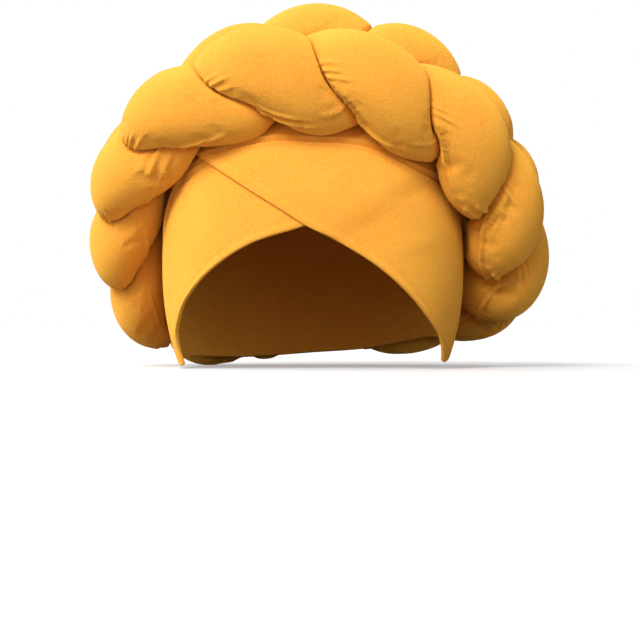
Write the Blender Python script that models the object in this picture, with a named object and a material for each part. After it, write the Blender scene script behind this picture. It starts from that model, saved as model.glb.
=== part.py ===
"""A turban hat: a stretch cap with two crossed front bands and a thick padded braid worn round the crown.

The frame is the wearer's head: +Z is up, the face looks along -Y, and +X is the wearer's left. The origin is
the top of the head, where the inside of the crown sits. Sizes are millimetres until mesh_object makes metres.
"""

import math

import bpy
import numpy as np

MM = 0.001

# The head that the cap is stretched over, as a rounded form about its own centre.
HEAD_HALF_WIDTH = 76.5
HEAD_HALF_LENGTH = 95.0
CROWN_HEIGHT = 95.0
LOWER_HEIGHT = 100.0
HEAD_SQUARENESS = 2.25
NAPE_DRAW = 0.12
NAPE_DRAW_SLOPE = 0.55
HEAD_CENTRE = np.array([0.0, 0.0, -CROWN_HEIGHT])

# Cloth: doubled jersey for the bands, a single heavier layer for the crown.
CROWN_WALL = 1.8
BAND_WALL = 2.0
CLOTH_GAP = 0.5
SEAM_GAP = 1.2
CROWN_POLE = np.array([0.0, 30.0, 0.0])
CROWN_RINGS = 8
SEAM_STEPS = 26
HEM_STEPS = 18
BAND_COLUMNS = 30
BAND_ROWS = 8
SEAM_POINTS = 12
LINE_STEPS = 12

# The over band is lifted by one cloth where the under band lies below it, and comes down between these
# distances past the under band's hidden edge.
LIFT = BAND_WALL + CLOTH_GAP
LIFT_END = 6.0
LIFT_START = 18.0

# The seam between the bands and the crown, hidden by the braid: from below the wearer's right ear, over the
# brow, to below the left one. These points and the next ones are moved onto the head along its radius.
SEAM_LINE = (
    # x, y, z
    (-71.5, 12.0, -146.0),
    (-76.0, 12.0, -120.0),
    (-76.5, 8.0, -92.0),
    (-73.5, -3.0, -64.0),
    (-62.0, -27.0, -38.0),
    (-38.0, -50.0, -24.0),
    (0.0, -64.0, -20.0),
    (38.0, -56.0, -25.0),
    (61.5, -31.0, -38.0),
    (74.0, -4.0, -64.0),
    (77.0, 8.0, -92.0),
    (76.5, 12.0, -118.0),
    (72.0, 12.0, -141.0),
)
UNDER_SEAM_SHARE = 0.64
OVER_SEAM_SHARE = 0.36

# The hem of each band, from its corner beside the face back to the seam, or from the seam to that corner.
RIGHT_BAND_HEM = (
    # x, y, z
    (-66.9, -29.0, -148.0),
    (-69.8, -16.0, -147.6),
    (-71.5, -2.0, -147.0),
)
LEFT_BAND_HEM = (
    # x, y, z
    (72.5, -2.0, -143.0),
    (70.5, -16.0, -145.0),
    (67.2, -31.0, -146.3),
)

# The under band's front edge: its corner beside the face, the rim over the brow, then hidden by the other.
UNDER_FRONT = (
    # x, y, z
    (-66.5, -31.0, -147.6),
    (-68.8, -33.9, -139.9),
    (-69.6, -39.2, -132.2),
    (-68.1, -48.3, -124.6),
    (-63.9, -60.2, -114.6),
    (-50.7, -78.6, -99.9),
    (-30.6, -91.4, -87.2),
    (-1.4, -96.0, -77.6),
    (21.0, -88.8, -66.0),
    (40.5, -76.0, -54.2),
    (55.0, -53.0, -41.2),
)
UNDER_PEAK_ROW = 7

# The over band's front edge: from under the braid, down across the other band, to its corner.
OVER_FRONT = (
    # x, y, z
    (-59.0, -48.0, -41.5),
    (-53.0, -62.1, -46.0),
    (-34.2, -84.7, -59.0),
    (-11.9, -94.8, -73.3),
    (-1.4, -96.3, -79.9),
    (13.5, -95.9, -86.9),
    (33.1, -90.4, -99.1),
    (48.1, -79.8, -112.3),
    (58.6, -65.7, -124.6),
    (64.1, -53.1, -132.2),
    (66.1, -42.8, -139.4),
    (66.5, -34.3, -145.6),
)

# The hem of the crown from the wearer's left ear across the nape to the right one.
NAPE_HEM = (
    # x, y, z
    (72.0, 12.0, -141.0),
    (72.0, 28.0, -137.0),
    (67.0, 47.0, -135.5),
    (51.0, 63.0, -137.0),
    (27.0, 73.0, -140.0),
    (0.0, 77.0, -142.5),
    (-27.0, 73.0, -145.0),
    (-51.0, 61.0, -147.0),
    (-66.0, 45.0, -147.5),
    (-71.0, 27.0, -147.0),
    (-71.5, 12.0, -146.0),
)

# The braid: three stuffed tubes plaited flat, bent into a ring and sewn end to end at the nape. Each tube's
# rise lags behind its swing by this angle in radians, so its lobes are fullest past their middle.
LOBE_SPACING = 47.5
STRANDS = 3
PITCH = STRANDS * LOBE_SPACING
STRAND_RADIUS = 22.5
STRAND_FLATNESS = 1.28
SIDE_SWING = 21.5
RISE = 8.5
RISE_LAG = 0.6
UNDER_DEPTH = 25.0
STRAND_GAP = 3.0
CREASE_ROUNDING = 9.0
FIRST_LOBE = 0.42
SLICES_PER_PITCH = 22
STRAND_SIDES = 14
SLICE_LEAN = 0.8
END_LEAN_LENGTH = 50.0
END_TAPER_LENGTH = 36.0
END_SCALE = 0.74

# What a strand's search for its neighbours covers: a share of the pitch each way, and rays of this reach.
NEAR_SHARE = 0.42
NEAR_STEPS = 85
RAY_REACH = 2.1 * STRAND_RADIUS
RAY_STEPS = 43

# How far the braid's underside keeps off the head over the crown, and how much more over the bands.
CROWN_CLEARANCE = CROWN_WALL + 0.9
BAND_CLEARANCE = 2.2
DEEPEST = 60.0
DEPTH_HALVINGS = 22

# The braid's middle line, from the nape up the wearer's right side, over the brow and down the left. roll
# turns its face about that line, in degrees, and width and height scale the plait there.
RING_COLUMNS = ("x", "y", "z", "roll", "width", "height")
RING_STATIONS = (
    (-0.7, 100.0, -110.0, 0.0, 0.84, 0.84),
    (-20.0, 99.4, -110.0, 0.0, 0.86, 0.83),
    (-51.0, 88.5, -110.0, 4.0, 0.88, 0.82),
    (-82.5, 58.5, -101.0, 12.0, 0.93, 0.78),
    (-95.5, 24.0, -74.5, 18.0, 0.92, 0.78),
    (-87.0, -15.5, -42.0, 2.0, 0.90, 0.82),
    (-58.0, -52.0, -17.5, -20.0, 0.88, 0.95),
    (-17.4, -70.5, -2.0, -18.0, 0.92, 1.08),
    (30.9, -71.5, -6.5, -12.0, 0.88, 1.06),
    (69.0, -57.0, -26.2, -12.0, 0.86, 0.95),
    (92.0, -24.9, -57.0, -2.0, 0.90, 0.89),
    (99.0, 12.2, -81.5, 8.0, 0.92, 0.83),
    (86.0, 53.4, -95.0, 4.0, 0.88, 0.82),
    (50.0, 87.3, -104.0, 0.0, 0.86, 0.82),
    (20.0, 99.4, -109.0, 0.0, 0.85, 0.83),
    (0.7, 100.0, -110.0, 0.0, 0.84, 0.84),
)
STATION_STEPS = 24

# One material a piece: base colour as linear red, green and blue, and roughness.
LOOKS = {
    "crown_cap": ((0.80, 0.36, 0.045), 0.90),
    "front_band_under": ((0.87, 0.42, 0.055), 0.90),
    "front_band_over": ((0.88, 0.43, 0.060), 0.90),
    "braid_strand_a": ((0.84, 0.38, 0.045), 0.92),
    "braid_strand_b": ((0.84, 0.38, 0.045), 0.92),
    "braid_strand_c": ((0.84, 0.38, 0.045), 0.92),
}


def smooth_step(value):
    value = np.clip(value, 0.0, 1.0)
    return value * value * (3 - 2 * value)


def unit(vectors):
    return vectors / np.linalg.norm(vectors, axis=-1, keepdims=True)


def smooth_line(points, steps):
    """A Catmull-Rom line through points, each a row of numbers, with this many steps in each span."""
    points = np.asarray(points, float)
    ends = np.vstack([2 * points[0] - points[1], points, 2 * points[-1] - points[-2]])
    t = np.arange(steps)[:, None] / steps
    spans = []
    for before, start, end, after in zip(ends, ends[1:], ends[2:], ends[3:]):
        linear = (end - before) * t
        square = (2 * before - 5 * start + 4 * end - after) * t**2
        cube = (3 * start - before - 3 * end + after) * t**3
        spans.append((2 * start + linear + square + cube) / 2)
    return np.vstack(spans + [points[-1:]])


def distance_along(line):
    """How far along a line each of its points lies."""
    steps = np.linalg.norm(np.diff(line, axis=0), axis=1)
    return np.concatenate([[0.0], np.cumsum(steps)])


def even_line(points, steps):
    """Evenly spaced points along a smooth line through the given ones."""
    dense = smooth_line(points, LINE_STEPS)
    distance = distance_along(dense)
    wanted = np.linspace(0, distance[-1], steps + 1)
    return np.stack([np.interp(wanted, distance, column) for column in dense.T], axis=-1)


def head_radius(direction):
    """Distance from the head's centre to its surface along unit directions."""
    x, y, z = direction[..., 0], direction[..., 1], direction[..., 2]
    height = np.where(z < 0, LOWER_HEIGHT, CROWN_HEIGHT)
    behind_and_below = (y > 0) & (z < 0)
    drawn = np.where(behind_and_below, NAPE_DRAW * smooth_step(-z / NAPE_DRAW_SLOPE), 0.0)
    length = HEAD_HALF_LENGTH * (1 - drawn)
    terms = np.abs([x / HEAD_HALF_WIDTH, y / length, z / height]) ** HEAD_SQUARENESS
    return terms.sum(axis=0) ** (-1 / HEAD_SQUARENESS)


def on_head(points, offset=0.0):
    """Points moved along the head's radius onto its surface, raised by offset."""
    direction = unit(points - HEAD_CENTRE)
    return HEAD_CENTRE + direction * (head_radius(direction) + offset)[..., None]


def above_head(points):
    """How far points lie outside the head's surface, along its radius."""
    away = points - HEAD_CENTRE
    distance = np.linalg.norm(away, axis=-1)
    return distance - head_radius(away / distance[..., None])


class Ring:
    """The line that the braid follows, with its face, width and height at each distance along it."""

    def __init__(self):
        dense = smooth_line(RING_STATIONS, STATION_STEPS)
        column = dict(zip(RING_COLUMNS, dense.T))
        line = dense[:, :3]
        self.distance = distance_along(line)
        self.length = self.distance[-1]
        tangent = unit(np.gradient(line, self.distance, axis=0))
        outward = line - HEAD_CENTRE
        outward = unit(outward - (outward * tangent).sum(axis=1, keepdims=True) * tangent)
        across = np.cross(tangent, outward)
        roll = np.radians(column["roll"])[:, None]
        face = outward * np.cos(roll) + across * np.sin(roll)
        side = across * np.cos(roll) - outward * np.sin(roll)
        scales = np.stack([column["width"], column["height"]], axis=-1)
        self.table = np.hstack([line, face, side, scales])

    def at(self, distance):
        """The line's point, outward and sideways directions, width and height at these distances."""
        found = [np.interp(distance, self.distance, column) for column in self.table.T]
        found = np.stack(found, axis=-1)
        return found[..., :3], found[..., 3:6], found[..., 6:9], found[..., 9], found[..., 10]


def strand_centre(turn):
    """Where a strand's middle is across and up the plait, at a share of its own pitch."""
    angle = 2 * math.pi * turn
    return SIDE_SWING * np.sin(angle), RISE * np.sin(2 * angle - RISE_LAG)


def strand_distance(along, across, up, shift):
    """Distance from points in the plait to a strand's middle, where 1 is that strand's own surface."""
    near = np.linspace(-NEAR_SHARE, NEAR_SHARE, NEAR_STEPS)
    side, rise = strand_centre(along[..., None] / PITCH + near + shift)
    squared = (
        (PITCH * near) ** 2
        + (across[..., None] - side) ** 2
        + (STRAND_FLATNESS * (up[..., None] - rise)) ** 2
    )
    return np.sqrt(squared.min(axis=-1)) / STRAND_RADIUS


def first_crossing(values, reach):
    """The reach at which each row of values first rises past zero."""
    past = values > 0
    index = np.where(past.any(axis=1), past.argmax(axis=1), len(reach) - 1)
    index = np.maximum(index, 1)
    rows = np.arange(len(values))
    low, high = values[rows, index - 1], values[rows, index]
    share = np.clip(-low / (high - low + 1e-9), 0, 1)
    return reach[index - 1] + share * (reach[index] - reach[index - 1])


def rounded_least(first, second, rounding):
    """The smaller of two numbers, rounded off where they are nearly equal."""
    near = np.maximum(rounding - np.abs(first - second), 0) / rounding
    return np.minimum(first, second) - near**2 * rounding / 4


def strand_slice(turn, sides, lean):
    """One slice of a strand, leaning towards square with it: its cloth along, across and up the plait.

    Rays from the strand's middle stop at its own round surface, or half way to the strand beside it.
    """
    angle = np.arange(sides) * 2 * math.pi / sides
    centre_side, centre_rise = strand_centre(turn)
    slope = lean * SIDE_SWING * 2 * math.pi / PITCH * math.cos(2 * math.pi * turn)
    reach = np.linspace(0, RAY_REACH, RAY_STEPS)
    side = np.cos(angle)[:, None] * reach
    up = centre_rise + np.sin(angle)[:, None] * reach / STRAND_FLATNESS
    along = turn * PITCH - slope * side
    own = strand_distance(along, centre_side + side, up, 0.0)
    beside = [strand_distance(along, centre_side + side, up, n / STRANDS) for n in range(1, STRANDS)]
    free = first_crossing(own - 1, reach)
    shared = first_crossing(own - np.min(beside, axis=0) + STRAND_GAP / STRAND_RADIUS, reach)
    radius = rounded_least(free, shared, CREASE_ROUNDING)
    side = np.cos(angle) * radius
    up = centre_rise + np.sin(angle) * radius / STRAND_FLATNESS
    return np.stack([-slope * side, centre_side + side, up], axis=-1)


def depth_to_cap(base, outward):
    """How far below each point, against its outward direction, the cap's cloth lies."""
    over_bands = smooth_step((-base[..., 1] - 5) / 20)
    clearance = CROWN_CLEARANCE + BAND_CLEARANCE * over_bands
    low = np.full(base.shape[:-1], -DEEPEST)
    high = np.full(base.shape[:-1], DEEPEST)
    for _ in range(DEPTH_HALVINGS):
        middle = (low + high) / 2
        inside = above_head(base - outward * middle[..., None]) < clearance
        high = np.where(inside, middle, high)
        low = np.where(inside, low, middle)
    return low


def bend_onto_ring(ring, along, across, up):
    """Plait points, by distance along, across and up, as points of the ring, pressed flat on the cap."""
    line, outward, side, width, height = ring.at(along)
    from_end = np.minimum(along, ring.length - along) / END_TAPER_LENGTH
    taper = END_SCALE + (1 - END_SCALE) * smooth_step(from_end)
    base = line + side * (across * width * taper)[..., None]
    depth = depth_to_cap(base, outward)
    pressed = np.clip(depth / (UNDER_DEPTH * height * taper), 0.05, 1.0)
    up = up * height * taper
    up = np.where(up < 0, up * pressed, up)
    up = np.maximum(up, -depth)
    return base + outward * up[..., None]


def strand_points(ring, number):
    """Rings of points along one strand, from the nape round to the nape, closer at its two ends."""
    count = int(round(ring.length / PITCH * SLICES_PER_PITCH))
    along = np.linspace(0, ring.length, count + 1)
    along = np.sort(np.append(along, [along[:2].mean(), along[-2:].mean()]))
    turn = (along / LOBE_SPACING + FIRST_LOBE + number) / STRANDS
    from_end = np.minimum(along, ring.length - along)
    lean = SLICE_LEAN * smooth_step(from_end / END_LEAN_LENGTH)
    slices = np.stack([strand_slice(t, STRAND_SIDES, l) for t, l in zip(turn, lean)])
    along = np.clip(along[:, None] + slices[..., 0], 0, ring.length)
    return bend_onto_ring(ring, along, slices[..., 1], slices[..., 2])


def seam_points(first_share, last_share):
    """Points of the seam between two shares of its length."""
    line = even_line(SEAM_LINE, 200)
    share = np.linspace(first_share, last_share, SEAM_POINTS)
    index = share * (len(line) - 1)
    return np.stack([np.interp(index, np.arange(len(line)), column) for column in line.T], axis=-1)


def band_grid(front, back):
    """Rows of points from a band's front edge to its back edge."""
    share = np.linspace(0, 1, BAND_ROWS + 1)[:, None, None]
    return even_line(front, BAND_COLUMNS) * (1 - share) + even_line(back, BAND_COLUMNS) * share


def over_band_lift(points):
    """How far the over band is raised off the head: fully wherever the under band lies below it."""
    peak = np.array(UNDER_FRONT[UNDER_PEAK_ROW]) - HEAD_CENTRE
    end = np.array(UNDER_FRONT[-1]) - HEAD_CENTRE
    past_edge = unit(points - HEAD_CENTRE) @ unit(np.cross(peak, end)) * HEAD_HALF_LENGTH
    return LIFT * smooth_step((past_edge + LIFT_START) / (LIFT_START - LIFT_END))


def crown_grid():
    """Rings of directions of the crown, from near its middle out to the seam and the hem, and that middle."""
    seam = even_line(SEAM_LINE, SEAM_STEPS)
    hem = even_line(NAPE_HEM, HEM_STEPS)
    edge = on_head(np.vstack([seam[:-1], hem[:-1]]))
    low = smooth_step((-edge[:, 2:] - 40) / 60)
    away = unit(CROWN_POLE - edge) * (1 - low) + np.array([0.0, 1.0, 0.0]) * low
    finish = unit(edge + SEAM_GAP * away - HEAD_CENTRE)
    start = unit(CROWN_POLE - HEAD_CENTRE)
    angle = np.arccos(finish @ start)[None, :, None]
    share = (np.arange(1, CROWN_RINGS + 1) / CROWN_RINGS)[:, None, None]
    rings = (np.sin((1 - share) * angle) * start + np.sin(share * angle) * finish) / np.sin(angle)
    return HEAD_CENTRE + rings, HEAD_CENTRE + start


def tube_mesh(points):
    """Vertices and faces of a closed tube: rings of points, with a fan at each end."""
    rings, sides, _ = points.shape
    vertices = list(points.reshape(-1, 3))
    faces = []
    for i in range(rings - 1):
        for j in range(sides):
            a, b = i * sides + j, i * sides + (j + 1) % sides
            faces.append((a, a + sides, b + sides, b))
    for ring, turned in ((0, False), (rings - 1, True)):
        middle = len(vertices)
        vertices.append(points[ring].mean(axis=0))
        for j in range(sides):
            a, b = ring * sides + j, ring * sides + (j + 1) % sides
            faces.append((b, a, middle) if turned else (a, b, middle))
    return vertices, faces


def sheet_mesh(grid, lift, wall):
    """A closed sheet over the head: its outside, its inside and its four edges, from a grid of points."""
    rows, columns, _ = grid.shape
    vertices = list(on_head(grid, lift + wall).reshape(-1, 3))
    vertices += list(on_head(grid, lift).reshape(-1, 3))
    below = rows * columns
    faces = []
    for i in range(rows - 1):
        for j in range(columns - 1):
            a = i * columns + j
            corners = (a, a + 1, a + 1 + columns, a + columns)
            faces.append(corners)
            faces.append(tuple(c + below for c in reversed(corners)))
    front = list(range(columns))
    last = [i * columns + columns - 1 for i in range(rows)]
    back = [(rows - 1) * columns + j for j in reversed(range(columns))]
    first = [i * columns for i in reversed(range(rows))]
    around = front[:-1] + last[:-1] + back[:-1] + first[:-1]
    for a, b in zip(around, around[1:] + around[:1]):
        faces.append((b, a, a + below, b + below))
    return vertices, faces


def dome_mesh(rings, pole, wall):
    """A closed dome over the head: rings of points about a pole, its inside, and the edge between them."""
    count, around, _ = rings.shape
    vertices = list(on_head(rings, wall).reshape(-1, 3))
    vertices += list(on_head(rings).reshape(-1, 3))
    below = count * around
    vertices += [on_head(pole, wall), on_head(pole)]
    faces = []
    for j in range(around):
        k = (j + 1) % around
        faces.append((2 * below, j, k))
        faces.append((2 * below + 1, k + below, j + below))
        for i in range(count - 1):
            corners = (i * around + j, (i + 1) * around + j, (i + 1) * around + k, i * around + k)
            faces.append(corners)
            faces.append(tuple(c + below for c in reversed(corners)))
        a, b = (count - 1) * around + j, (count - 1) * around + k
        faces.append((a, a + below, b + below, b))
    return vertices, faces


def cloth_material(name, colour, roughness):
    material = bpy.data.materials.new(name)
    material.use_nodes = True
    shader = material.node_tree.nodes["Principled BSDF"]
    shader.inputs["Base Color"].default_value = (*colour, 1.0)
    shader.inputs["Roughness"].default_value = roughness
    shader.inputs["Metallic"].default_value = 0.0
    return material


def mesh_object(name, vertices, faces):
    """One named piece in metres, shaded smooth, with its own material."""
    mesh = bpy.data.meshes.new(name)
    mesh.from_pydata([tuple(vertex * MM) for vertex in vertices], [], faces)
    mesh.shade_smooth()
    mesh.materials.append(cloth_material(name + "_jersey", *LOOKS[name]))
    piece = bpy.data.objects.new(name, mesh)
    bpy.context.scene.collection.objects.link(piece)


def clear_scene():
    for piece in list(bpy.data.objects):
        bpy.data.objects.remove(piece)


def make_cap():
    rings, pole = crown_grid()
    mesh_object("crown_cap", *dome_mesh(rings, pole, CROWN_WALL))
    under_back = np.vstack([RIGHT_BAND_HEM, seam_points(0.0, UNDER_SEAM_SHARE)])
    under = band_grid(UNDER_FRONT, under_back)
    mesh_object("front_band_under", *sheet_mesh(under, np.zeros(under.shape[:2]), BAND_WALL))
    over_back = np.vstack([seam_points(OVER_SEAM_SHARE, 1.0), LEFT_BAND_HEM])
    over = band_grid(OVER_FRONT, over_back)
    mesh_object("front_band_over", *sheet_mesh(over, over_band_lift(over), BAND_WALL))


def make_braid():
    ring = Ring()
    for number, letter in enumerate("abc"):
        mesh_object("braid_strand_" + letter, *tube_mesh(strand_points(ring, number)))


clear_scene()
make_cap()
make_braid()
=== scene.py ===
import math

import bpy
import numpy as np
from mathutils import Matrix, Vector


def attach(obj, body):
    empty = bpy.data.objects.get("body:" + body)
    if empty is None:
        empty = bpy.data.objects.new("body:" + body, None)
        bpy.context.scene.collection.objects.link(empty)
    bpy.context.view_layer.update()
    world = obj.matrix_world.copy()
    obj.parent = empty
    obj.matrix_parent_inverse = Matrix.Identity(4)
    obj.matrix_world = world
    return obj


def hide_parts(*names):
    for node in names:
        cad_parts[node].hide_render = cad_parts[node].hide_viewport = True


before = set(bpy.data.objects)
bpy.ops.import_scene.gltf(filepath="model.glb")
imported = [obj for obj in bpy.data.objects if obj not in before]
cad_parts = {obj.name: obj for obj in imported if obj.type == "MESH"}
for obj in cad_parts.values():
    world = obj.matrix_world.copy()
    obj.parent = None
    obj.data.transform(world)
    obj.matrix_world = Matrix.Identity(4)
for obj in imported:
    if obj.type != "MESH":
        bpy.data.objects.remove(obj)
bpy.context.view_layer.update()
print("turban hat: frame loaded")

# Sizes are millimetres until makePiece turns them into metres. +Z is up, and the bands cross in front, at -Y.
mm = 0.001

# the inside of the stretched cap
head = {
    "halfWidth": 76.5,
    "halfLength": 95.0,
    "above": 95.0,         # centre to the top, where the origin is
    "below": 100.0,
    "squareness": 2.25,
    "napeDraw": 0.12,      # how far the nape is drawn in
    "napeSlope": 0.55,
}
headCentre = np.array([0.0, 0.0, -head["above"]])


def smoothStep(value):
    value = np.clip(value, 0.0, 1.0)
    return value * value * (3 - 2 * value)


def unit(vectors):
    return vectors / np.linalg.norm(vectors, axis=-1, keepdims=True)


def smoothLine(points, steps):
    points = np.asarray(points, float)
    ends = np.vstack([2 * points[0] - points[1], points, 2 * points[-1] - points[-2]])
    t = np.arange(steps)[:, None] / steps
    spans = []
    for before, start, end, after in zip(ends, ends[1:], ends[2:], ends[3:]):
        spans.append((2 * start + (end - before) * t + (2 * before - 5 * start + 4 * end - after) * t**2
                      + (3 * start - before - 3 * end + after) * t**3) / 2)
    return np.vstack(spans + [points[-1:]])


def distanceAlong(line):
    return np.concatenate([[0.0], np.cumsum(np.linalg.norm(np.diff(line, axis=0), axis=1))])


def evenLine(points, steps):
    dense = smoothLine(points, 24)
    distance = distanceAlong(dense)
    wanted = np.linspace(0, distance[-1], steps + 1)
    return np.stack([np.interp(wanted, distance, column) for column in dense.T], axis=-1)


def headRadius(direction):
    x, y, z = direction[..., 0], direction[..., 1], direction[..., 2]
    height = np.where(z < 0, head["below"], head["above"])
    drawn = np.where((y > 0) & (z < 0), head["napeDraw"] * smoothStep(-z / head["napeSlope"]), 0.0)
    length = head["halfLength"] * (1 - drawn)
    power = head["squareness"]
    terms = np.abs(x / head["halfWidth"]) ** power + np.abs(y / length) ** power + np.abs(z / height) ** power
    return terms ** (-1 / power)


def onHead(points, offset=0.0):
    direction = unit(points - headCentre)
    return headCentre + direction * (headRadius(direction) + offset)[..., None]


def aboveHead(points):
    away = points - headCentre
    distance = np.linalg.norm(away, axis=-1)
    return distance - headRadius(away / distance[..., None])


# Materials

def fromHex(code):
    # sRGB hex to the linear numbers that Blender's sockets take
    parts = [int(code[i:i + 2], 16) / 255 for i in (1, 3, 5)]
    return tuple(c / 12.92 if c <= 0.04045 else ((c + 0.055) / 1.055) ** 2.4 for c in parts) + (1.0,)


def addNode(tree, kind, settings=None, links=None):
    node = tree.nodes.new(kind)
    for key, value in (settings or {}).items():
        if isinstance(key, str) and hasattr(node, key):
            setattr(node, key, value)
        else:
            node.inputs[key].default_value = value
    for key, source in (links or {}).items():
        tree.links.new(source, node.inputs[key])
    return node


# Brushed polyester jersey: a fine weft knit whose face is brushed until short fibres hide most of the loops,
# so the eye sees a matte surface with a soft bright edge, a fine mottle and only a hint of the ribs.
brushedJersey = {
    "colour": "#F2AC35",
    "shade": "#EFA430",
    "lightFibre": "#F6BA50",
    "sheen": "#FFB84A",
    "sheenWeight": 0.3,
    "sheenRoughness": 0.5,
    "specular": 0.25,
    "roughness": 0.88,
    "loopSpacing": 1.1,    # mm: the real loops are about 0.5 mm and would not show at this size
    "mottle": 1.1,         # mm: clumps of brushed fibre
    "patch": 26.0,         # mm: slow change where the cloth is more or less stretched
    "bumpHeight": 0.18,    # mm
}


def makeJersey(name, cloth):
    material = bpy.data.materials.new(name)
    material.use_nodes = True
    tree = material.node_tree
    shader = tree.nodes["Principled BSDF"]
    place = addNode(tree, "ShaderNodeTexCoord")
    patch = addNode(tree, "ShaderNodeTexNoise", {"Scale": 1000 / cloth["patch"], "Detail": 2.0},
                    {"Vector": place.outputs["Object"]})
    mottle = addNode(tree, "ShaderNodeTexNoise", {"Scale": 1000 / cloth["mottle"], "Detail": 3.0,
                                                  "Roughness": 0.65}, {"Vector": place.outputs["Object"]})
    loops = addNode(tree, "ShaderNodeTexNoise", {"Scale": 1000 / cloth["loopSpacing"], "Detail": 1.0,
                                                 "Roughness": 0.5}, {"Vector": place.outputs["Object"]})
    slow = addNode(tree, "ShaderNodeMapRange", {"From Min": 0.35, "From Max": 0.65},
                   {"Value": patch.outputs["Fac"]})
    fine = addNode(tree, "ShaderNodeMapRange", {"From Min": 0.38, "From Max": 0.72, "To Max": 0.75},
                   {"Value": mottle.outputs["Fac"]})
    # a colour mix has its factor at 0, its two colours at 6 and 7, and its result at 2
    base = addNode(tree, "ShaderNodeMix", {"data_type": "RGBA", 6: fromHex(cloth["shade"]),
                                           7: fromHex(cloth["colour"])}, {0: slow.outputs["Result"]})
    fibre = addNode(tree, "ShaderNodeMix", {"data_type": "RGBA", 7: fromHex(cloth["lightFibre"])},
                    {0: fine.outputs["Result"], 6: base.outputs[2]})
    height = addNode(tree, "ShaderNodeMath", {"operation": "ADD"},
                     {0: mottle.outputs["Fac"], 1: loops.outputs["Fac"]})
    relief = addNode(tree, "ShaderNodeBump", {"Strength": 1.0, "Distance": cloth["bumpHeight"] * mm},
                     {"Height": height.outputs[0]})
    tree.links.new(fibre.outputs[2], shader.inputs["Base Color"])
    tree.links.new(relief.outputs["Normal"], shader.inputs["Normal"])
    shader.inputs["Roughness"].default_value = cloth["roughness"]
    shader.inputs["Diffuse Roughness"].default_value = 1.0
    shader.inputs["Specular IOR Level"].default_value = cloth["specular"]
    shader.inputs["Sheen Weight"].default_value = cloth["sheenWeight"]
    shader.inputs["Sheen Roughness"].default_value = cloth["sheenRoughness"]
    shader.inputs["Sheen Tint"].default_value = fromHex(cloth["sheen"])
    return material


def makePiece(name, vertices, faces, material, slot, replaced=()):
    mesh = bpy.data.meshes.new(name)
    mesh.from_pydata((np.asarray(vertices) * mm).tolist(), [], faces)
    mesh.shade_smooth()
    mesh.materials.append(material)
    piece = bpy.data.objects.new(name, mesh)
    bpy.context.scene.collection.objects.link(piece)
    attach(piece, "root")
    if replaced:
        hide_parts(*replaced)
    return piece


def gridFaces(rows, columns, wrapped=False):
    # quads between rows of points, wound so that columns run left to right as rows go down the outside
    last = columns if wrapped else columns - 1
    row, column = np.meshgrid(np.arange(rows - 1), np.arange(last), indexing="ij")
    nextColumn = (column + 1) % columns
    a, b = row * columns + column, row * columns + nextColumn
    c, d = (row + 1) * columns + nextColumn, (row + 1) * columns + column
    return np.stack([a, b, c, d], axis=-1).reshape(-1, 4)


# The braid: three stuffed tubes plaited flat and bent into a ring, sewn end to end at the nape.
braid = {
    "lobeSpacing": 47.5,
    "tubeRadius": 23.3,
    "flatness": 1.28,
    "sideSwing": 21.5,
    "rise": 8.5,
    "riseLag": 0.6,        # the tubes lean over one another, so each lobe is fullest past its middle
    "underDepth": 25.0,
    "strandGap": 0.5,
    "creaseRounding": 4.5,
    "firstLobe": 0.42,
    "lean": 0.8,
    "endTaper": 36.0,
    "endScale": 0.74,
    "endRound": 9.0,       # mm from each end over which the tube is drawn in
    "endDrawn": 0.7,
    "gathers": 0.7,        # mm: the depth of the small gathers at the ends
    "gatherCount": 17,
    "gathered": 16.0,      # mm: how far they run
    "slices": 515,
    "sides": 192,
    "crowding": 2.2,       # points crowd together on the flanks, where the pleats are
    "crowded": (-25, 205), # degrees round the tube: the middles of the two crowded parts
    "crowdedHalf": 62,
    "crowdedBlend": 25,
    "crownClearance": 2.7,
    "bandClearance": 2.2,
    "bandFrom": 5.0,       # mm in front of the middle where the bands' clearance comes in
    "bandBlend": 20.0,
    "leastDepth": 0.05,    # the flattest that the underside is pressed against the cap
}
# the ring's middle line: x, y, z, roll in degrees, width and height of the plait
ringStations = (
    (-0.7, 100.0, -110.0, 0.0, 0.84, 0.84),
    (-20.0, 99.4, -110.0, 0.0, 0.86, 0.83),
    (-51.0, 88.5, -110.0, 4.0, 0.88, 0.82),
    (-82.5, 58.5, -101.0, 12.0, 0.93, 0.78),
    (-95.5, 24.0, -74.5, 18.0, 0.92, 0.78),
    (-87.0, -15.5, -42.0, 2.0, 0.90, 0.82),
    (-58.0, -52.0, -17.5, -20.0, 0.88, 0.95),
    (-17.4, -70.5, -2.0, -18.0, 0.92, 1.08),
    (30.9, -71.5, -6.5, -12.0, 0.88, 1.06),
    (69.0, -57.0, -26.2, -12.0, 0.86, 0.95),
    (92.0, -24.9, -57.0, -2.0, 0.90, 0.89),
    (99.0, 12.2, -81.5, 8.0, 0.92, 0.83),
    (86.0, 53.4, -95.0, 4.0, 0.88, 0.82),
    (50.0, 87.3, -104.0, 0.0, 0.86, 0.82),
    (20.0, 99.4, -109.0, 0.0, 0.85, 0.83),
    (0.7, 100.0, -110.0, 0.0, 0.84, 0.84),
)
pitch = 3 * braid["lobeSpacing"]


def ringTable():
    dense = smoothLine(ringStations, 24)
    line = dense[:, :3]
    distance = distanceAlong(line)
    tangent = unit(np.gradient(line, distance, axis=0))
    outward = line - headCentre
    outward = unit(outward - (outward * tangent).sum(axis=1, keepdims=True) * tangent)
    across = np.cross(tangent, outward)
    roll = np.radians(dense[:, 3])[:, None]
    face = outward * np.cos(roll) + across * np.sin(roll)
    side = across * np.cos(roll) - outward * np.sin(roll)
    return distance, np.hstack([line, face, side, dense[:, 4:6]])


ringDistance, ringColumns = ringTable()
ringLength = ringDistance[-1]


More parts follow.
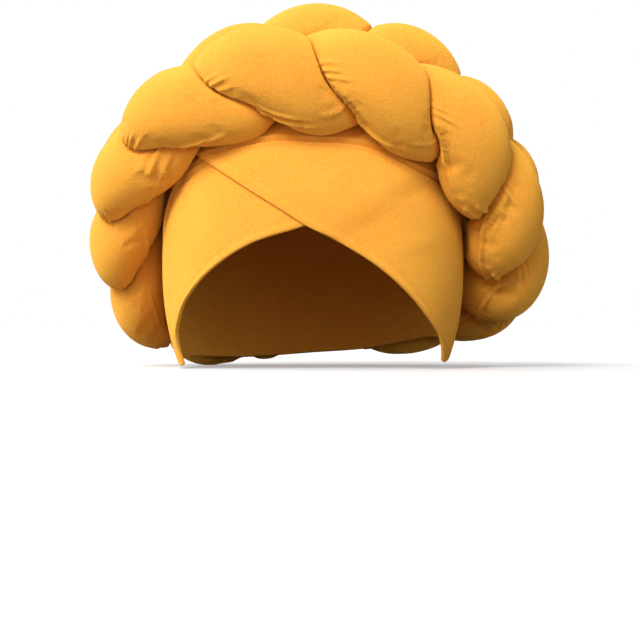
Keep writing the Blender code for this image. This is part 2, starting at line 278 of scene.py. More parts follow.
def onRing(along):
    found = np.stack([np.interp(along, ringDistance, column) for column in ringColumns.T], axis=-1)
    return found[..., :3], found[..., 3:6], found[..., 6:9], found[..., 9], found[..., 10]


# how far along a tube its nearest point is looked for, in turns, and how far out rays go, in tube radii
nearTurns, nearSteps = 0.42, 85
rayReach, raySteps = 2.1, 60


def strandCentre(turn):
    angle = 2 * math.pi * turn
    return braid["sideSwing"] * np.sin(angle), braid["rise"] * np.sin(2 * angle - braid["riseLag"])


def strandDistance(along, across, up, shift):
    # distance to a tube's middle line, where 1 is its own surface
    near = np.linspace(-nearTurns, nearTurns, nearSteps)
    side, rise = strandCentre(along[..., None] / pitch + near + shift)
    squared = ((pitch * near) ** 2 + (across[..., None] - side) ** 2
               + (braid["flatness"] * (up[..., None] - rise)) ** 2)
    return np.sqrt(squared.min(axis=-1)) / braid["tubeRadius"]


def firstCrossing(values, reach):
    past = values > 0
    index = np.maximum(np.where(past.any(axis=1), past.argmax(axis=1), len(reach) - 1), 1)
    rows = np.arange(len(values))
    low, high = values[rows, index - 1], values[rows, index]
    share = np.clip(-low / (high - low + 1e-9), 0, 1)
    return reach[index - 1] + share * (reach[index] - reach[index - 1])


def plaitSection(turn, angle):
    # rays from a tube's middle to its own round surface, and to half way to the tube beside it
    centreSide, centreRise = strandCentre(turn)
    slope = braid["lean"] * braid["sideSwing"] * 2 * math.pi / pitch * math.cos(2 * math.pi * turn)
    reach = np.linspace(0, rayReach * braid["tubeRadius"], raySteps)
    side = np.cos(angle)[:, None] * reach
    up = centreRise + np.sin(angle)[:, None] * reach / braid["flatness"]
    along = turn * pitch - slope * side
    own = strandDistance(along, centreSide + side, up, 0.0)
    beside = [strandDistance(along, centreSide + side, up, n / 3) for n in (1, 2)]
    free = firstCrossing(own - 1, reach)
    shared = firstCrossing(own - np.min(beside, axis=0) + braid["strandGap"] / braid["tubeRadius"], reach)
    return free, shared


def roundedLeast(first, second, rounding):
    near = np.maximum(rounding - np.abs(first - second), 0) / rounding
    return np.minimum(first, second) - near**2 * rounding / 4


def bendOntoRing(along, across, up):
    line, outward, side, width, height = onRing(along)
    fromEnd = np.minimum(along, ringLength - along) / braid["endTaper"]
    taper = braid["endScale"] + (1 - braid["endScale"]) * smoothStep(fromEnd)
    base = line + side * (across * width * taper)[..., None]
    forward = smoothStep((-base[..., 1] - braid["bandFrom"]) / braid["bandBlend"])
    clearance = braid["crownClearance"] + braid["bandClearance"] * forward
    # halving finds how far in the cap's surface is
    farthest, halvings = 60.0, 20
    low, high = np.full(base.shape[:-1], -farthest), np.full(base.shape[:-1], farthest)
    for _ in range(halvings):
        middle = (low + high) / 2
        inside = aboveHead(base - outward * middle[..., None]) < clearance
        high = np.where(inside, middle, high)
        low = np.where(inside, low, middle)
    pressed = np.clip(low / (braid["underDepth"] * height * taper), braid["leastDepth"], 1.0)
    up = up * height * taper
    up = np.where(up < 0, up * pressed, up)
    up = np.maximum(up, -low)
    return base + outward * up[..., None]


def crowdedAngles(count):
    angle = np.arange(721) / 2
    density = np.ones(721)
    for middle in braid["crowded"]:
        off = np.abs((angle - middle + 180) % 360 - 180)
        density += braid["crowding"] * smoothStep((braid["crowdedHalf"] - off) / braid["crowdedBlend"] + 0.5)
    place = np.concatenate([[0.0], np.cumsum(density[:-1] + density[1:])])
    return np.radians(np.interp(np.arange(count) * place[-1] / count, place, angle))


sectionCount = 180
sideAngles = crowdedAngles(braid["sides"])
sections = [plaitSection(i / sectionCount, sideAngles) for i in range(sectionCount)]
freeTable = np.array([s[0] for s in sections])
sharedTable = np.array([s[1] for s in sections])
print("turban hat: plait worked out")


def fromTable(table, turn):
    place = (turn % 1.0) * sectionCount
    index = np.floor(place).astype(int)
    share = (place - index)[:, None]
    return table[index % sectionCount] * (1 - share) + table[(index + 1) % sectionCount] * share


def strandGrid(number, slices, sides):
    # points along and round one tube, and how near each is to going under its neighbour
    along = np.linspace(0, ringLength, slices)
    turn = (along / braid["lobeSpacing"] + braid["firstLobe"] + number) / 3
    step = braid["sides"] // sides
    angle = sideAngles[::step]
    free, shared = fromTable(freeTable, turn)[:, ::step], fromTable(sharedTable, turn)[:, ::step]
    radius = roundedLeast(free, shared, braid["creaseRounding"])
    centreSide, centreRise = strandCentre(turn)
    slope = braid["lean"] * braid["sideSwing"] * 2 * math.pi / pitch * np.cos(2 * math.pi * turn)
    side = np.cos(angle) * radius
    up = centreRise[:, None] + np.sin(angle) * radius / braid["flatness"]
    place = np.clip(along[:, None] - slope[:, None] * side, 0, ringLength)
    return bendOntoRing(place, centreSide[:, None] + side, up), shared - free


def tubeMesh(points):
    rings, sides, _ = points.shape
    quads = gridFaces(rings, sides, wrapped=True)[:, [0, 3, 2, 1]]
    vertices = np.vstack([points.reshape(-1, 3), points[0].mean(axis=0), points[-1].mean(axis=0)])
    faces = quads.tolist()
    j = np.arange(sides)
    k = (j + 1) % sides
    first, last = rings * sides, rings * sides + 1
    faces += np.stack([j, k, np.full(sides, first)], axis=-1).tolist()
    base = (rings - 1) * sides
    faces += np.stack([base + k, base + j, np.full(sides, last)], axis=-1).tolist()
    return vertices, faces


# each tube's jersey is cut larger than its filling needs, so it puffs between the creases and gathers at them
puffing = {
    "slices": 381,
    "sides": 64,
    "extraCloth": 0.012,
    "bending": 0.8,
    "pressure": 2.2,
    "stiffness": 12,
    "shear": 4,
    "mass": 0.2,
    "quality": 5,
    "pinStiffness": 5,
    "frames": 16,
    "scale": 0.01,         # millimetres to the simulation's units
    "most": 5.0,           # mm
    "heldFrom": 2.5,       # mm from the crease between two tubes at which the cloth begins to be free
    "heldBlend": 4.0,
    "lowFrom": 13.0,       # mm from the cap's inside, below which the tube rests against it
    "lowBlend": 6.0,
    "endRows": 6,
}


def pinWeights(points, margin):
    # 1 where the cloth is held between two tubes, against the cap or at the ends, and 0 where it is free
    held = smoothStep((puffing["heldFrom"] - margin) / puffing["heldBlend"])
    low = smoothStep((puffing["lowFrom"] - aboveHead(points)) / puffing["lowBlend"])
    row = np.arange(len(points))
    ends = smoothStep(1.5 - np.minimum(row, row[::-1]) / puffing["endRows"])[:, None]
    return np.maximum(np.maximum(held, low), ends)


def puffedOut(number):
    points, margin = strandGrid(number, puffing["slices"], puffing["sides"])
    vertices, faces = tubeMesh(points)
    mesh = bpy.data.meshes.new("puffing")
    mesh.from_pydata((vertices * puffing["scale"]).tolist(), [], faces)
    cloth = bpy.data.objects.new("puffing", mesh)
    bpy.context.scene.collection.objects.link(cloth)
    pins = cloth.vertex_groups.new(name="pins")
    weights = np.concatenate([pinWeights(points, margin).reshape(-1), [1.0, 1.0]])
    for index in np.nonzero(weights > 0.01)[0]:
        pins.add([int(index)], float(weights[index]), "REPLACE")
    modifier = cloth.modifiers.new("Cloth", "CLOTH")
    settings = modifier.settings
    settings.quality = puffing["quality"]
    settings.mass = puffing["mass"]
    settings.tension_stiffness = settings.compression_stiffness = puffing["stiffness"]
    settings.shear_stiffness = puffing["shear"]
    settings.bending_stiffness = puffing["bending"]
    settings.vertex_group_mass = "pins"
    settings.pin_stiffness = puffing["pinStiffness"]
    settings.shrink_min = -puffing["extraCloth"]
    settings.use_pressure = True
    settings.uniform_pressure_force = puffing["pressure"]
    settings.effector_weights.gravity = 0
    modifier.point_cache.frame_end = puffing["frames"]
    for frameNumber in range(1, puffing["frames"] + 1):
        bpy.context.scene.frame_set(frameNumber)
    result = cloth.evaluated_get(bpy.context.evaluated_depsgraph_get()).to_mesh()
    found = np.empty(len(result.vertices) * 3)
    result.vertices.foreach_get("co", found)
    bpy.data.objects.remove(cloth)
    bpy.context.scene.frame_set(1)
    found = found.reshape(-1, 3)[:-2].reshape(points.shape) / puffing["scale"]
    moved = found - points
    size = np.linalg.norm(moved, axis=-1, keepdims=True)
    return moved * np.minimum(1, puffing["most"] / (size + 1e-9))


def cubicRows(values, count, wrapped):
    # Catmull-Rom between rows, so that a coarse field bends smoothly on a finer grid
    rows = len(values)
    place = np.arange(count) * rows / count if wrapped else np.linspace(0, rows - 1, count)
    index = np.floor(place).astype(int)
    t = (place - index).reshape(-1, *[1] * (values.ndim - 1))
    near = [(index + k) % rows if wrapped else np.clip(index + k, 0, rows - 1) for k in (-1, 0, 1, 2)]
    before, start, end, after = (values[n] for n in near)
    return start + t / 2 * (end - before + t * (2 * before - 5 * start + 4 * end - after
                                                + t * (3 * (start - end) + after - before)))


# Pleats start where a lobe comes out from under its neighbour. Each path is a share of the tube's turn and
# degrees round the tube, from the braid's front edge towards its outside.
pleatPaths = {
    "crescent": ((0.185, -55), (0.210, -63), (0.265, -60), (0.311, -51), (0.365, -30)),
    "innerCrescent": ((0.180, -42), (0.200, -50), (0.230, -52), (0.275, -47), (0.335, -30)),
    "fan": ((0.142, -4), (0.155, -11), (0.181, -37), (0.214, -60), (0.250, -66)),
    "farFan": ((0.135, 8), (0.150, 0), (0.175, -18), (0.205, -38), (0.240, -55)),
    "outerTick": ((0.110, 26), (0.135, 25), (0.165, 27)),
    "upperTick": ((0.118, 15), (0.145, 13), (0.178, 16)),
    "middleTick": ((0.130, 3), (0.155, 3), (0.192, 8)),
    "lowerTick": ((0.142, -9), (0.168, -12), (0.205, -9)),
    "tail": ((0.335, -22), (0.365, -4), (0.385, 8), (0.405, 16)),
    "outerTail": ((0.325, -6), (0.350, 10), (0.375, 24), (0.395, 32)),
    "lowerTail": ((0.345, -44), (0.375, -26), (0.400, -12), (0.420, -2)),
}
# Each line is a lobe: its tube, which one along it (odd ones are behind), and the depth of its pleats in mm.
pleats = (
    ("a", 4, {"crescent": 2.1, "innerCrescent": 1.0, "upperTick": 0.8, "middleTick": 1.0, "lowerTick": 0.5,
              "tail": 0.9}),
    ("b", 4, {"crescent": 1.4, "outerTick": 0.5, "upperTick": 0.8, "middleTick": 0.9, "lowerTick": 0.7}),
    ("c", 4, {"crescent": 1.4, "outerTick": 0.5, "upperTick": 0.7, "middleTick": 0.9, "tail": 1.9,
              "lowerTail": 1.8, "outerTail": 1.2}),
    ("a", 2, {"crescent": 1.2, "upperTick": 0.6, "middleTick": 0.9, "lowerTick": 0.7, "tail": 1.2}),
    ("b", 2, {"innerCrescent": 1.0, "upperTick": 0.6, "middleTick": 0.8, "lowerTick": 0.5}),
    ("c", 6, {"fan": 2.2, "farFan": 1.9, "crescent": 1.7, "outerTick": 0.7, "upperTick": 1.0,
              "middleTick": 1.0, "tail": 0.9}),
    ("b", 6, {"fan": 1.9, "crescent": 1.7, "upperTick": 0.7, "middleTick": 0.8, "tail": 1.6,
              "lowerTail": 1.4}),
    ("a", 6, {"fan": 2.0, "farFan": 1.7, "crescent": 1.7, "upperTick": 0.6, "middleTick": 0.9, "tail": 1.6,
              "lowerTail": 1.4}),
    ("c", 8, {"fan": 2.1, "innerCrescent": 1.6, "upperTick": 0.7, "middleTick": 0.9, "lowerTick": 0.7,
              "tail": 1.2}),
    ("b", 8, {"crescent": 2.2, "fan": 2.1, "farFan": 2.0, "innerCrescent": 1.6, "upperTick": 0.8,
              "middleTick": 0.9}),
    ("a", 8, {"crescent": 1.6, "fan": 1.7, "middleTick": 0.8}),
    ("c", 2, {"crescent": 1.6, "fan": 1.4, "middleTick": 0.8, "upperTick": 0.5}),
    ("c", 10, {"crescent": 1.6, "fan": 1.4, "middleTick": 0.8}),
    ("a", 3, {"crescent": 1.4, "upperTick": 0.6, "middleTick": 0.7}),
    ("b", 3, {"fan": 1.7, "upperTick": 0.6, "middleTick": 0.7}),
    ("c", 3, {"crescent": 1.6, "upperTick": 0.6, "lowerTick": 0.6}),
    ("a", 5, {"fan": 1.6, "outerTick": 0.7, "upperTick": 0.8, "middleTick": 0.8}),
    ("b", 5, {"crescent": 1.6, "outerTick": 0.6, "upperTick": 0.7, "middleTick": 0.7}),
    ("c", 5, {"fan": 1.7, "upperTick": 0.7, "middleTick": 0.7}),
    ("a", 7, {"crescent": 1.6, "upperTick": 0.6, "middleTick": 0.7}),
    ("b", 7, {"fan": 1.7, "upperTick": 0.6, "lowerTick": 0.6}),
    ("c", 7, {"crescent": 1.6, "upperTick": 0.6, "middleTick": 0.7}),
    ("b", 1, {"fan": 1.6, "middleTick": 0.6}),
    ("a", 1, {"crescent": 1.4, "upperTick": 0.6}),
)
pleatShape = {
    "tick": 1.1,           # mm: half the width of a short pucker, whose name ends in Tick
    "fold": 0.85,          # mm: half the width of a long pleat
    "upper": (0.12, 2.1, 1.3),   # the ridge above a groove: its share of the depth, place and width
    "lower": (0.3, -2.3, 1.5),
    "fadeIn": 0.12,        # shares of its length over which a pleat comes and goes
    "fadeOut": 0.45,
    "radius": 20.0,        # mm: the tube's, for turning degrees into distance
    "steps": 12,
}


def pleatProfile(off, wide):
    # a narrow groove with a rolled ridge on both sides, the lower one fuller
    profile = np.exp(-(off / wide) ** 2)
    for side in ("upper", "lower"):
        share, place, spread = pleatShape[side]
        profile = profile - share * np.exp(-((off - place * wide) / (spread * wide)) ** 2)
    return profile


def pleatDepth(letter, turn, angle):
    # how far the cloth is pushed in, or out beside a groove, at each point of a tube
    depth = np.zeros((len(turn), len(angle)))
    radius = pleatShape["radius"]
    for tube, lobe, folds in pleats:
        if tube != letter:
            continue
        share = turn - lobe / 2
        for path, deep in folds.items():
            wide = pleatShape["tick" if path.endswith("Tick") else "fold"]
            line = smoothLine(pleatPaths[path], pleatShape["steps"])
            inside = (share > line[0, 0]) & (share < line[-1, 0])
            if not inside.any():
                continue
            middle = np.interp(share[inside], line[:, 0], line[:, 1])
            steep = np.radians(np.gradient(line[:, 1], line[:, 0])) * radius / pitch
            steep = np.interp(share[inside], line[:, 0], steep)
            off = np.degrees(angle)[None, :] - (180 - middle if lobe % 2 else middle)[:, None]
            off = ((off + 180) % 360 - 180) * (-1 if lobe % 2 else 1)
            off = np.radians(off) * radius / np.sqrt(1 + steep**2)[:, None]
            along = (share[inside] - line[0, 0]) / (line[-1, 0] - line[0, 0])
            fade = (smoothStep(along / pleatShape["fadeIn"])
                    * smoothStep((1 - along) / pleatShape["fadeOut"]))
            depth[inside] += deep * fade[:, None] * pleatProfile(off, wide)
    return depth


def gridNormals(points):
    ahead = np.gradient(points, axis=0)
    around = np.roll(points, -1, axis=1) - np.roll(points, 1, axis=1)
    return unit(np.cross(around, ahead) + 1e-12)


def braidTube(number):
    points, margin = strandGrid(number, braid["slices"], braid["sides"])
    moved = cubicRows(puffedOut(number), braid["slices"], False)
    points = points + cubicRows(moved.swapaxes(0, 1), braid["sides"], True).swapaxes(0, 1)
    along = np.linspace(0, ringLength, braid["slices"])
    turn = (along / braid["lobeSpacing"] + braid["firstLobe"] + number) / 3
    depth = pleatDepth("abc"[number], turn, sideAngles)
    # the ends are gathered, drawn in and sewn
    fromEnd = np.minimum(along, ringLength - along)[:, None]
    ripple = np.cos(braid["gatherCount"] * sideAngles)
    depth += braid["gathers"] * ripple * np.exp(-(fromEnd / braid["gathered"]) ** 2)
    points = points - gridNormals(points) * depth[..., None]
    middle = points.mean(axis=1, keepdims=True)
    drawn = np.sqrt(1 - braid["endDrawn"] * np.clip(1 - fromEnd / braid["endRound"], 0, 1) ** 2)
    return middle + (points - middle) * drawn[..., None]


braidCloth = makeJersey("brushedJerseyBraid", brushedJersey)
for number, letter in enumerate("abc"):
    vertices, faces = tubeMesh(braidTube(number))
    strand = makePiece("braidTube" + letter.upper(), vertices, faces, braidCloth, "braid_jersey",
                       ["braid_strand_" + letter])
    print("turban hat: tube", letter, "made")
print("turban hat: braid made")

# The cap: a crown and two front bands, all sewn together under the braid.
cap = {
    "crownWall": 1.8,
    "bandWall": 2.0,
    "clothGap": 0.5,
    "bandRows": 110,
    "bandColumns": 300,
    "rimRoll": 0.45,       # mm: how full the folded front edges are
    "rimRidge": (1.0, 2.2, 1.8),     # the roll, then the dip behind it: share, mm from the edge, width
    "rimDip": (-0.6, 6.5, 2.0),
    "rimFlat": 6.0,        # mm from the edge where the folds begin
    "foldRound": 0.75,     # how far from the edge the fold turns round, in wall thicknesses
    "seamGap": 1.2,
    "underShare": 0.64,
    "overShare": 0.36,
    "liftStart": 18.0,
    "liftEnd": 6.0,
}
seamLine = (
    (-71.5, 12.0, -146.0), (-76.0, 12.0, -120.0), (-76.5, 8.0, -92.0), (-73.5, -3.0, -64.0),
    (-62.0, -27.0, -38.0), (-38.0, -50.0, -24.0), (0.0, -64.0, -20.0), (38.0, -56.0, -25.0),
    (61.5, -31.0, -38.0), (74.0, -4.0, -64.0), (77.0, 8.0, -92.0), (76.5, 12.0, -118.0),
    (72.0, 12.0, -141.0),
)
rightHem = ((-66.9, -29.0, -148.0), (-69.8, -16.0, -147.6), (-71.5, -2.0, -147.0))
leftHem = ((72.5, -2.0, -143.0), (70.5, -16.0, -145.0), (67.2, -31.0, -146.3))
underFront = (
    (-66.5, -31.0, -147.6), (-68.8, -33.9, -139.9), (-69.6, -39.2, -132.2), (-68.1, -48.3, -124.6),
    (-63.9, -60.2, -114.6), (-50.7, -78.6, -99.9), (-30.6, -91.4, -87.2), (-1.4, -96.0, -77.6),
    (21.0, -88.8, -66.0), (40.5, -76.0, -54.2), (55.0, -53.0, -41.2),
)
overFront = (
    (-59.0, -48.0, -41.5), (-53.0, -62.1, -46.0), (-34.2, -84.7, -59.0), (-11.9, -94.8, -73.3),
    (-1.4, -96.3, -79.9), (13.5, -95.9, -86.9), (33.1, -90.4, -99.1), (48.1, -79.8, -112.3),
    (58.6, -65.7, -124.6), (64.1, -53.1, -132.2), (66.1, -42.8, -139.4), (66.5, -34.3, -145.6),
)
napeHem = (
    (72.0, 12.0, -141.0), (72.0, 28.0, -137.0), (67.0, 47.0, -135.5), (51.0, 63.0, -137.0),
    (27.0, 73.0, -140.0), (0.0, 77.0, -142.5), (-27.0, 73.0, -145.0), (-51.0, 61.0, -147.0),
    (-66.0, 45.0, -147.5), (-71.0, 27.0, -147.0), (-71.5, 12.0, -146.0),
)


def seamPoints(firstShare, lastShare):
    line = evenLine(seamLine, 400)
    index = np.linspace(firstShare, lastShare, 16) * (len(line) - 1)
    return np.stack([np.interp(index, np.arange(len(line)), column) for column in line.T], axis=-1)


def overBandLift(points):
    peak, end = np.array(underFront[7]) - headCentre, np.array(underFront[-1]) - headCentre
    past = unit(points - headCentre) @ unit(np.cross(peak, end)) * head["halfLength"]
    lift = cap["bandWall"] + cap["clothGap"]
    return lift * smoothStep((past + cap["liftStart"]) / (cap["liftStart"] - cap["liftEnd"]))


rimSteps = (0.0, 0.15, 0.4, 0.75, 1.2, 1.8, 2.6, 3.6)


def bandGrid(front, back, rows, columns):
    # rows of points from a band's folded front edge to its seam, close together at the fold
    start, finish = onHead(evenLine(front, columns - 1)), onHead(evenLine(back, columns - 1))
    length = np.linalg.norm(finish - start, axis=1)[None, :]
    near = np.array(rimSteps)[:, None] / length
    far = near[-1] + (1 - near[-1]) * np.linspace(0, 1, rows - len(near) + 1)[1:, None]
    share = np.vstack([near, far])
    return start * (1 - share[..., None]) + finish * share[..., None], share * length


def foldedEdge(distance, wall):
    # half the wall's thickness near a fold, where the doubled cloth turns round on itself
    inside = np.clip(1 - distance / (cap["foldRound"] * wall), 0, 1)
    return wall / 2 * np.sqrt(np.clip(1 - inside**2, 0.0, 1))


def besideLine(points, line):
    # distance to a line on the cap, + on the right-hand side as one follows it, and the share along it
    steps = 80
    line = onHead(evenLine(line, steps))
    flat = onHead(points).reshape(-1, 3)
    apart = np.linalg.norm(flat[:, None, :] - line[None, ::2], axis=-1)
    nearest = apart.argmin(axis=1) * 2
    here, ahead = line[np.clip(nearest - 1, 0, steps - 1)], line[np.clip(nearest + 1, 1, steps)]
    forward = unit(ahead - here)
    away = flat - here
    away = away - (away * forward).sum(axis=1, keepdims=True) * forward
    side = np.sign((np.cross(forward, unit(flat - headCentre)) * away).sum(axis=1))
    shape = points.shape[:-1]
    return (np.linalg.norm(away, axis=1) * side).reshape(shape), (nearest / steps).reshape(shape)


def foldRelief(points, folds):
    # ridges and grooves: each fold has a line, its height, width and shift in mm, and how soon its ends fade
    relief = np.zeros(points.shape[:-1])
    for fold in folds:
        off, share = besideLine(points, fold["line"])
        fade = smoothStep(share / fold["fade"]) * smoothStep((1 - share) / fold["fade"])
        relief += fold["height"] * fade * np.exp(-((off - fold.get("shift", 0)) / fold["width"]) ** 2)
    return relief


def sheetMesh(outside, inside):
    # a closed sheet from its two sides, joined all round
    rows, columns, _ = outside.shape
    below = rows * columns
    faces = gridFaces(rows, columns).tolist()
    faces += (gridFaces(rows, columns)[:, ::-1] + below).tolist()
    front = list(range(columns))
    last = [i * columns + columns - 1 for i in range(rows)]
    back = [(rows - 1) * columns + j for j in reversed(range(columns))]
    first = [i * columns for i in reversed(range(rows))]
    around = np.array(front[:-1] + last[:-1] + back[:-1] + first[:-1])
    following = np.roll(around, -1)
    faces += np.stack([following, around, around + below, following + below], axis=-1).tolist()
    return np.vstack([outside.reshape(-1, 3), inside.reshape(-1, 3)]), faces


bandCloth = makeJersey("brushedJerseyBand", brushedJersey)
crownCloth = makeJersey("brushedJerseyCrown", brushedJersey)
# the seam that joins band and braid shows as a rolled ridge just below the braid
topSeam = ((-72.0, -34.0, -66.0), (-66.3, -43.5, -53.6), (-56.5, -58.7, -42.8), (-42.0, -71.8, -39.4),
           (-21.0, -80.9, -35.1), (2.7, -83.9, -35.5), (26.4, -80.8, -37.8), (50.4, -70.8, -48.3),
           (63.2, -52.0, -54.0), (69.1, -43.8, -63.7), (72.9, -38.7, -76.7))
earFold = ((-50.0, -62.0, -47.0), (-60.0, -52.5, -52.5), (-67.0, -40.0, -59.5), (-71.5, -29.0, -72.0),
           (-73.5, -22.0, -92.0))
tabFold = ((-73.0, -24.0, -104.0), (-72.0, -29.5, -124.0), (-70.0, -27.5, -137.0), (-67.0, -25.0, -147.0))
seamFolds = (
    {"line": topSeam, "height": 1.3, "width": 0.9, "fade": 0.05, "shift": -0.6},
    {"line": topSeam, "height": -1.5, "width": 0.8, "fade": 0.05, "shift": 1.1},
    {"line": topSeam, "height": 0.8, "width": 1.0, "fade": 0.05, "shift": 2.8},
)
underFolds = (
    {"line": earFold, "height": -1.3, "width": 1.3, "fade": 0.3},
    {"line": earFold, "height": 1.3, "width": 2.4, "fade": 0.3, "shift": 3.4},
    {"line": tabFold, "height": -0.9, "width": 1.4, "fade": 0.35},
    {"line": tabFold, "height": 0.8, "width": 2.0, "fade": 0.35, "shift": -3.0},
) + seamFolds
overFolds = seamFolds + (
    {"line": ((14.0, -92.0, -78.0), (32.0, -84.0, -72.0), (50.0, -70.0, -66.0)), "height": 0.45,
     "width": 4.0, "fade": 0.4},
    {"line": ((30.0, -88.0, -92.0), (48.0, -75.0, -88.0), (62.0, -55.0, -84.0)), "height": 0.4,
     "width": 4.5, "fade": 0.4},
    {"line": ((72.5, -22.0, -100.0), (72.0, -27.0, -122.0), (68.5, -26.0, -140.0)), "height": -0.7,
     "width": 1.6, "fade": 0.35},
)


def makeBand(name, front, back, folds, lifted, replaced):
    grid, distance = bandGrid(front, back, cap["bandRows"], cap["bandColumns"])
    lift = overBandLift(grid) if lifted else 0.0
    half = foldedEdge(distance, cap["bandWall"])
    middle = lift + cap["bandWall"] / 2
    relief = foldRelief(grid, folds) * smoothStep(distance / cap["rimFlat"])
    for share, place, spread in (cap["rimRidge"], cap["rimDip"]):
        relief += cap["rimRoll"] * share * np.exp(-((distance - place) / spread) ** 2)
    return makePiece(name, *sheetMesh(onHead(grid, middle + half + relief), onHead(grid, middle - half)),
                     bandCloth, "band_jersey", [replaced])


under = makeBand("underBand", underFront, np.vstack([rightHem, seamPoints(0.0, cap["underShare"])]),
                 underFolds, False, "front_band_under")
over = makeBand("overBand", overFront, np.vstack([seamPoints(cap["overShare"], 1.0), leftHem]),
                overFolds, True, "front_band_over")


crownGrid = {
    "rings": 100,
    "seamSteps": 150,
    "hemSteps": 110,
    "pole": (0.0, 30.0, 0.0),
    "crowding": 1.7,       # rings lie closest at the rim
    "lowFrom": 40.0,       # mm below the top where the rim begins to face straight back
    "lowBlend": 60.0,
}


def crownRings(rings, seamSteps, hemSteps):
    edge = onHead(np.vstack([evenLine(seamLine, seamSteps)[:-1], evenLine(napeHem, hemSteps)[:-1]]))
    low = smoothStep((-edge[:, 2:] - crownGrid["lowFrom"]) / crownGrid["lowBlend"])
    pole = np.array(crownGrid["pole"])
    away = unit(pole - edge) * (1 - low) + np.array([0.0, 1.0, 0.0]) * low
    finish = unit(edge + cap["seamGap"] * away - headCentre)
    start = unit(pole - headCentre)
    angle = np.arccos(finish @ start)[None, :, None]
    share = (1 - (1 - np.arange(1, rings + 1) / rings) ** crownGrid["crowding"])[:, None, None]
    directions = (np.sin((1 - share) * angle) * start + np.sin(share * angle) * finish) / np.sin(angle)
    return headCentre + directions, headCentre + start


def domeMesh(outside, inside, top, topInside):
    count, around, _ = outside.shape
    below = count * around
    vertices = np.vstack([outside.reshape(-1, 3), inside.reshape(-1, 3), top, topInside])
    j = np.arange(around)
    k = (j + 1) % around
    outer = gridFaces(count, around, wrapped=True)[:, [0, 3, 2, 1]]
    faces = outer.tolist() + (outer[:, ::-1] + below).tolist()
    faces += np.stack([np.full(around, 2 * below), j, k], axis=-1).tolist()
    faces += np.stack([np.full(around, 2 * below + 1), k + below, j + below], axis=-1).tolist()
    rim = (count - 1) * around
    faces += np.stack([rim + j, rim + j + below, rim + k + below, rim + k], axis=-1).tolist()
    return vertices, faces


# the nape's edge is turned in and held by two rows of stitches, and a seam runs up the middle of the back
hemStitches = tuple((x, y, z + 9.0) for x, y, z in napeHem[1:-1])
backSeam = ((0.0, 78.0, -146.0), (0.0, 86.0, -128.0), (0.0, 94.0, -100.0), (0.0, 86.0, -60.0),
            (0.0, 58.0, -22.0), (0.0, 26.0, -4.0))
crownFolds = (
    {"line": hemStitches, "height": -0.5, "width": 1.1, "fade": 0.04},
    {"line": hemStitches, "height": -0.5, "width": 1.1, "fade": 0.04, "shift": -3.0},
    {"line": hemStitches, "height": 0.3, "width": 2.6, "fade": 0.04, "shift": -6.0},
    {"line": backSeam, "height": -0.6, "width": 1.0, "fade": 0.1},
    {"line": backSeam, "height": 0.35, "width": 2.0, "fade": 0.1, "shift": 3.0},
    {"line": backSeam, "height": 0.35, "width": 2.0, "fade": 0.1, "shift": -3.0},
)
rings, pole = crownRings(crownGrid["rings"], crownGrid["seamSteps"], crownGrid["hemSteps"])
crownOutside = onHead(rings, cap["crownWall"] + foldRelief(rings, crownFolds))
crown = makePiece("crown", *domeMesh(crownOutside, onHead(rings), onHead(pole[None], cap["crownWall"]),
                                     onHead(pole[None])),
                  crownCloth, "crown_jersey", ["crown_cap"])
print("turban hat: cap made")

# Stage: white floor and backdrop, a camera at the photograph's viewpoint, soft light from the upper left.
studio = {
    "floorHeight": -149.5,
    "cameraPlace": (3.7, -1400.0, -124.6),
    "lens": 1910 * 36 * 1.4 / 640,
    "leftLight": 1.8,      # the white wall on the left, fading to the right
    "rightLight": 0.1,
    "paper": 0.6,
    "paperGlow": 0.35,
    "paperBounce": 0.25,   # how much light the floor throws back up
    "paperRoughness": 0.95,
    "floorReach": 6.0,     # metres
}
# big soft boxes, as suns: where from, power and degrees across
softBoxes = {
    "softKey": ((-0.42, -1.0, 0.75), 2.9, 25),
    "softFront": ((0.55, -1.0, -0.1), 1.1, 60),
}


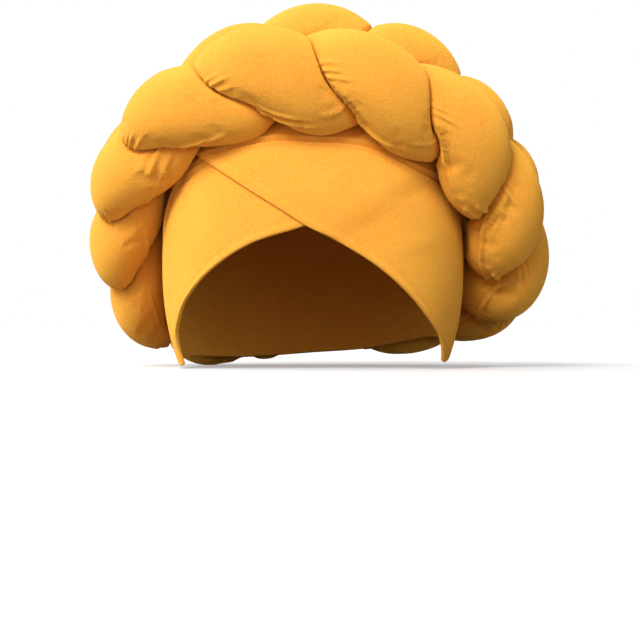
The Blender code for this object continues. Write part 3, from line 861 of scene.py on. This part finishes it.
def makeFloor():
    mesh = bpy.data.meshes.new("studioFloor")
    reach, low = studio["floorReach"], studio["floorHeight"] * mm
    corners = ((-reach, -reach), (reach, -reach), (reach, reach), (-reach, reach))
    mesh.from_pydata([(x, y, low) for x, y in corners], [], [(0, 1, 2, 3)])
    floor = bpy.data.objects.new("studioFloor", mesh)
    material = bpy.data.materials.new("whitePaper")
    material.use_nodes = True
    tree = material.node_tree
    shader = tree.nodes["Principled BSDF"]
    shader.inputs["Base Color"].default_value = (studio["paper"],) * 3 + (1,)
    shader.inputs["Roughness"].default_value = studio["paperRoughness"]
    shader.inputs["Emission Color"].default_value = (1, 1, 1, 1)
    shader.inputs["Emission Strength"].default_value = studio["paperGlow"]
    bounce = addNode(tree, "ShaderNodeBsdfDiffuse", {"Color": (studio["paperBounce"],) * 3 + (1,)})
    rays = addNode(tree, "ShaderNodeLightPath")
    seen = addNode(tree, "ShaderNodeMixShader", {}, {0: rays.outputs["Is Camera Ray"],
                                                     1: bounce.outputs[0], 2: shader.outputs[0]})
    tree.links.new(seen.outputs[0], tree.nodes["Material Output"].inputs["Surface"])
    mesh.materials.append(material)
    bpy.context.scene.collection.objects.link(floor)


def makeSoftBoxes():
    for name, (place, power, across) in softBoxes.items():
        data = bpy.data.lights.new(name, "SUN")
        data.angle = math.radians(across)
        data.energy = power
        sun = bpy.data.objects.new(name, data)
        sun.rotation_euler = Vector(place).to_track_quat("Z", "Y").to_euler()
        bpy.context.scene.collection.objects.link(sun)


def makeWorld():
    # the backdrop is plain white, and the light that it gives comes from the left
    world = bpy.data.worlds.new("whiteStudio")
    world.use_nodes = True
    tree = world.node_tree
    background = tree.nodes["Background"]
    background.inputs["Color"].default_value = (1, 1, 1, 1)
    place = addNode(tree, "ShaderNodeTexCoord")
    sides = addNode(tree, "ShaderNodeSeparateXYZ", {}, {0: place.outputs["Generated"]})
    light = addNode(tree, "ShaderNodeMapRange",
                    {"From Min": 0.5, "From Max": -1.0, "To Min": studio["rightLight"],
                     "To Max": studio["leftLight"]}, {"Value": sides.outputs["X"]})
    rays = addNode(tree, "ShaderNodeLightPath")
    level = addNode(tree, "ShaderNodeMix", {"data_type": "FLOAT", 3: 1.0},
                    {0: rays.outputs["Is Camera Ray"], 2: light.outputs["Result"]})
    tree.links.new(level.outputs[0], background.inputs["Strength"])
    bpy.context.scene.world = world


def makeStudio():
    scene = bpy.context.scene
    data = bpy.data.cameras.new("photoCamera")
    data.lens = studio["lens"]
    data.sensor_width = 36
    data.clip_start, data.clip_end = 0.05, 20
    camera = bpy.data.objects.new("photoCamera", data)
    camera.location = Vector(studio["cameraPlace"]) * mm
    camera.rotation_euler = (math.radians(90), 0, 0)
    scene.collection.objects.link(camera)
    scene.camera = camera
    scene.view_settings.view_transform = "Standard"
    makeWorld()
    makeFloor()
    makeSoftBoxes()


makeStudio()
print("turban hat: studio made")
